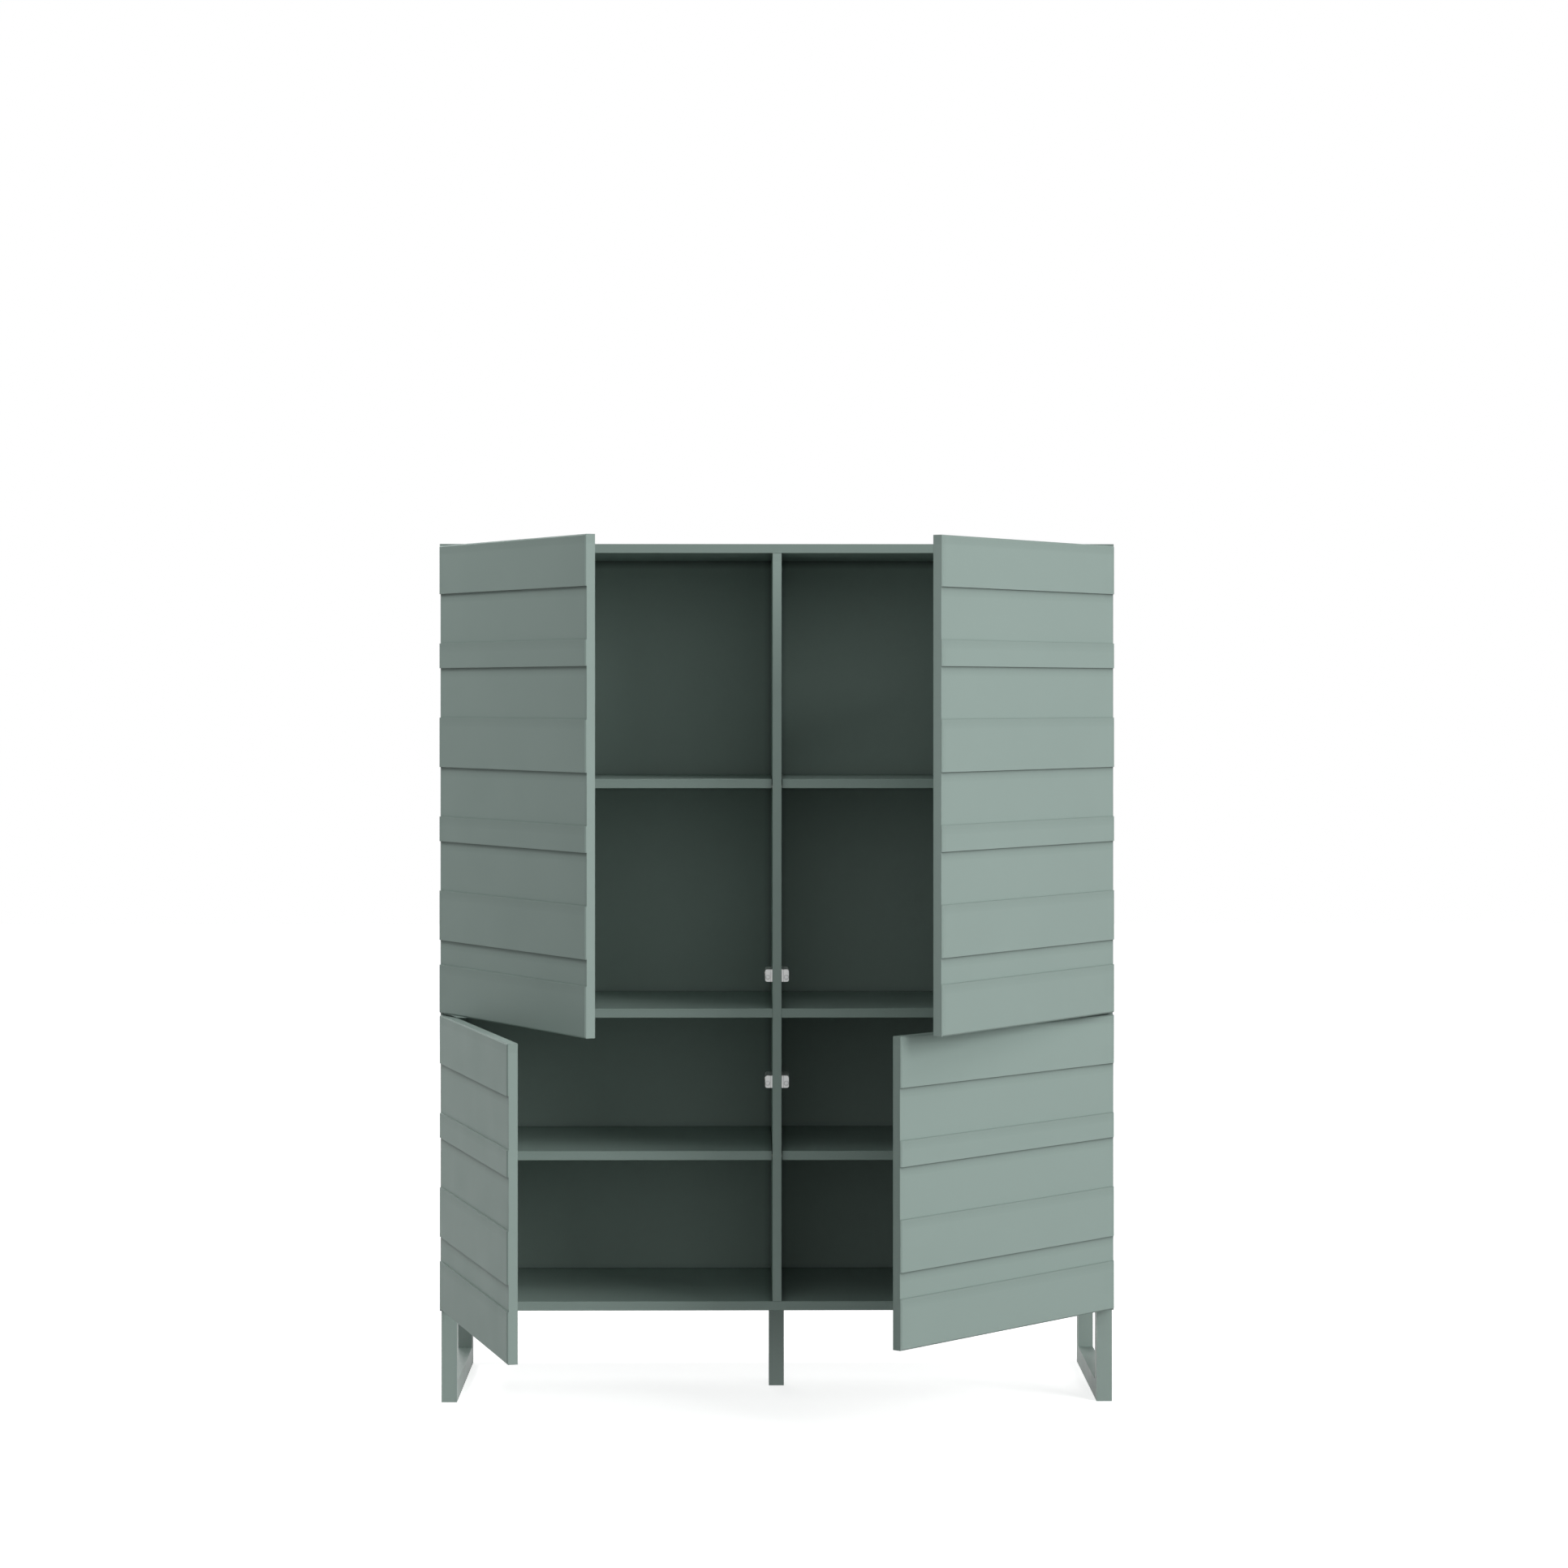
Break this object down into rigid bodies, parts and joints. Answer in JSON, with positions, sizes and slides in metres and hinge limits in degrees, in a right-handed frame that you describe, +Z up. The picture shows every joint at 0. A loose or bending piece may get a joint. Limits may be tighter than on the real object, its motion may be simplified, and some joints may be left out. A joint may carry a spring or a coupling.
{
  "type": "highboard",
  "caption": "Tall highboard with hinged doors that carry stepped horizontal bands, push latches, adjustable shelves, sled leg frames and a centre support leg",
  "frame": {"origin": "on the floor, under the middle of the centre support leg", "axes": "+X to the right seen from the front, +Y to the back, +Z up; the doors stand open as in the picture"},
  "size_m": [1.18, 0.9802, 1.502],
  "materials": {
    "lacquered_board": "satin sage-green lacquer on board",
    "painted_tube": "satin powder coat, sage green",
    "plated_steel": "nickel plated",
    "moulded_plastic": "matt light grey",
    "beech_dowel": "plain beech"
  },
  "bodies": {
    "carcass": {"top_panel": "lacquered_board", "bottom_panel": "lacquered_board", "left_side_panel": "lacquered_board", "right_side_panel": "lacquered_board", "centre_partition": "lacquered_board", "middle_shelf_left": "lacquered_board", "middle_shelf_right": "lacquered_board", "upper_left_shelf": "lacquered_board", "upper_right_shelf": "lacquered_board", "lower_left_shelf": "lacquered_board", "lower_right_shelf": "lacquered_board", "back_panel_left": "lacquered_board", "back_panel_right": "lacquered_board", "left_leg_frame": "painted_tube", "right_leg_frame": "painted_tube", "centre_support_leg": "painted_tube", "leg_insert_blocks": "moulded_plastic", "leg_bolts": "plated_steel", "shelf_pins": "plated_steel", "wood_dowels": "beech_dowel", "upper_left_hinge_arms": "plated_steel", "upper_left_hinge_plates": "plated_steel", "upper_left_latch_housing": "moulded_plastic", "upper_right_hinge_arms": "plated_steel", "upper_right_hinge_plates": "plated_steel", "upper_right_latch_housing": "moulded_plastic", "lower_left_hinge_arms": "plated_steel", "lower_left_hinge_plates": "plated_steel", "lower_left_latch_housing": "moulded_plastic", "lower_right_hinge_arms": "plated_steel", "lower_right_hinge_plates": "plated_steel", "lower_right_latch_housing": "moulded_plastic"},
    "upper_left_door": {"upper_left_door": "lacquered_board", "upper_left_hinge_cups": "plated_steel", "upper_left_strike_plate": "plated_steel"},
    "upper_left_plunger": {"upper_left_latch_plunger": "moulded_plastic"},
    "upper_right_door": {"upper_right_door": "lacquered_board", "upper_right_hinge_cups": "plated_steel", "upper_right_strike_plate": "plated_steel"},
    "upper_right_plunger": {"upper_right_latch_plunger": "moulded_plastic"},
    "lower_left_door": {"lower_left_door": "lacquered_board", "lower_left_hinge_cups": "plated_steel", "lower_left_strike_plate": "plated_steel"},
    "lower_left_plunger": {"lower_left_latch_plunger": "moulded_plastic"},
    "lower_right_door": {"lower_right_door": "lacquered_board", "lower_right_hinge_cups": "plated_steel", "lower_right_strike_plate": "plated_steel"},
    "lower_right_plunger": {"lower_right_latch_plunger": "moulded_plastic"}
  },
  "joints": [
    {"name": "upper_left_door_hinge", "type": "hinge", "parent": "carcass", "child": "upper_left_door", "pos_m": [-0.58, -0.19, 1.09025], "axis": [0, 0, -1], "range_deg": [-61.8, 33.2]},
    {"name": "upper_left_plunger_slide", "type": "slide", "parent": "carcass", "child": "upper_left_plunger", "axis": [0, -1, 0], "range_m": [-0.002, 0.01]},
    {"name": "upper_right_door_hinge", "type": "hinge", "parent": "carcass", "child": "upper_right_door", "pos_m": [0.58, -0.19, 1.09025], "axis": [0, 0, 1], "range_deg": [-56.2, 38.8]},
    {"name": "upper_right_plunger_slide", "type": "slide", "parent": "carcass", "child": "upper_right_plunger", "axis": [0, -1, 0], "range_m": [-0.002, 0.01]},
    {"name": "lower_left_door_hinge", "type": "hinge", "parent": "carcass", "child": "lower_left_door", "pos_m": [-0.58, -0.19, 0.42125], "axis": [0, 0, -1], "range_deg": [-74.9, 20.1]},
    {"name": "lower_left_plunger_slide", "type": "slide", "parent": "carcass", "child": "lower_left_plunger", "axis": [0, -1, 0], "range_m": [-0.002, 0.01]},
    {"name": "lower_right_door_hinge", "type": "hinge", "parent": "carcass", "child": "lower_right_door", "pos_m": [0.58, -0.19, 0.42125], "axis": [0, 0, 1], "range_deg": [-48.1, 46.9]},
    {"name": "lower_right_plunger_slide", "type": "slide", "parent": "carcass", "child": "lower_right_plunger", "axis": [0, -1, 0], "range_m": [-0.002, 0.01]}
  ]
}
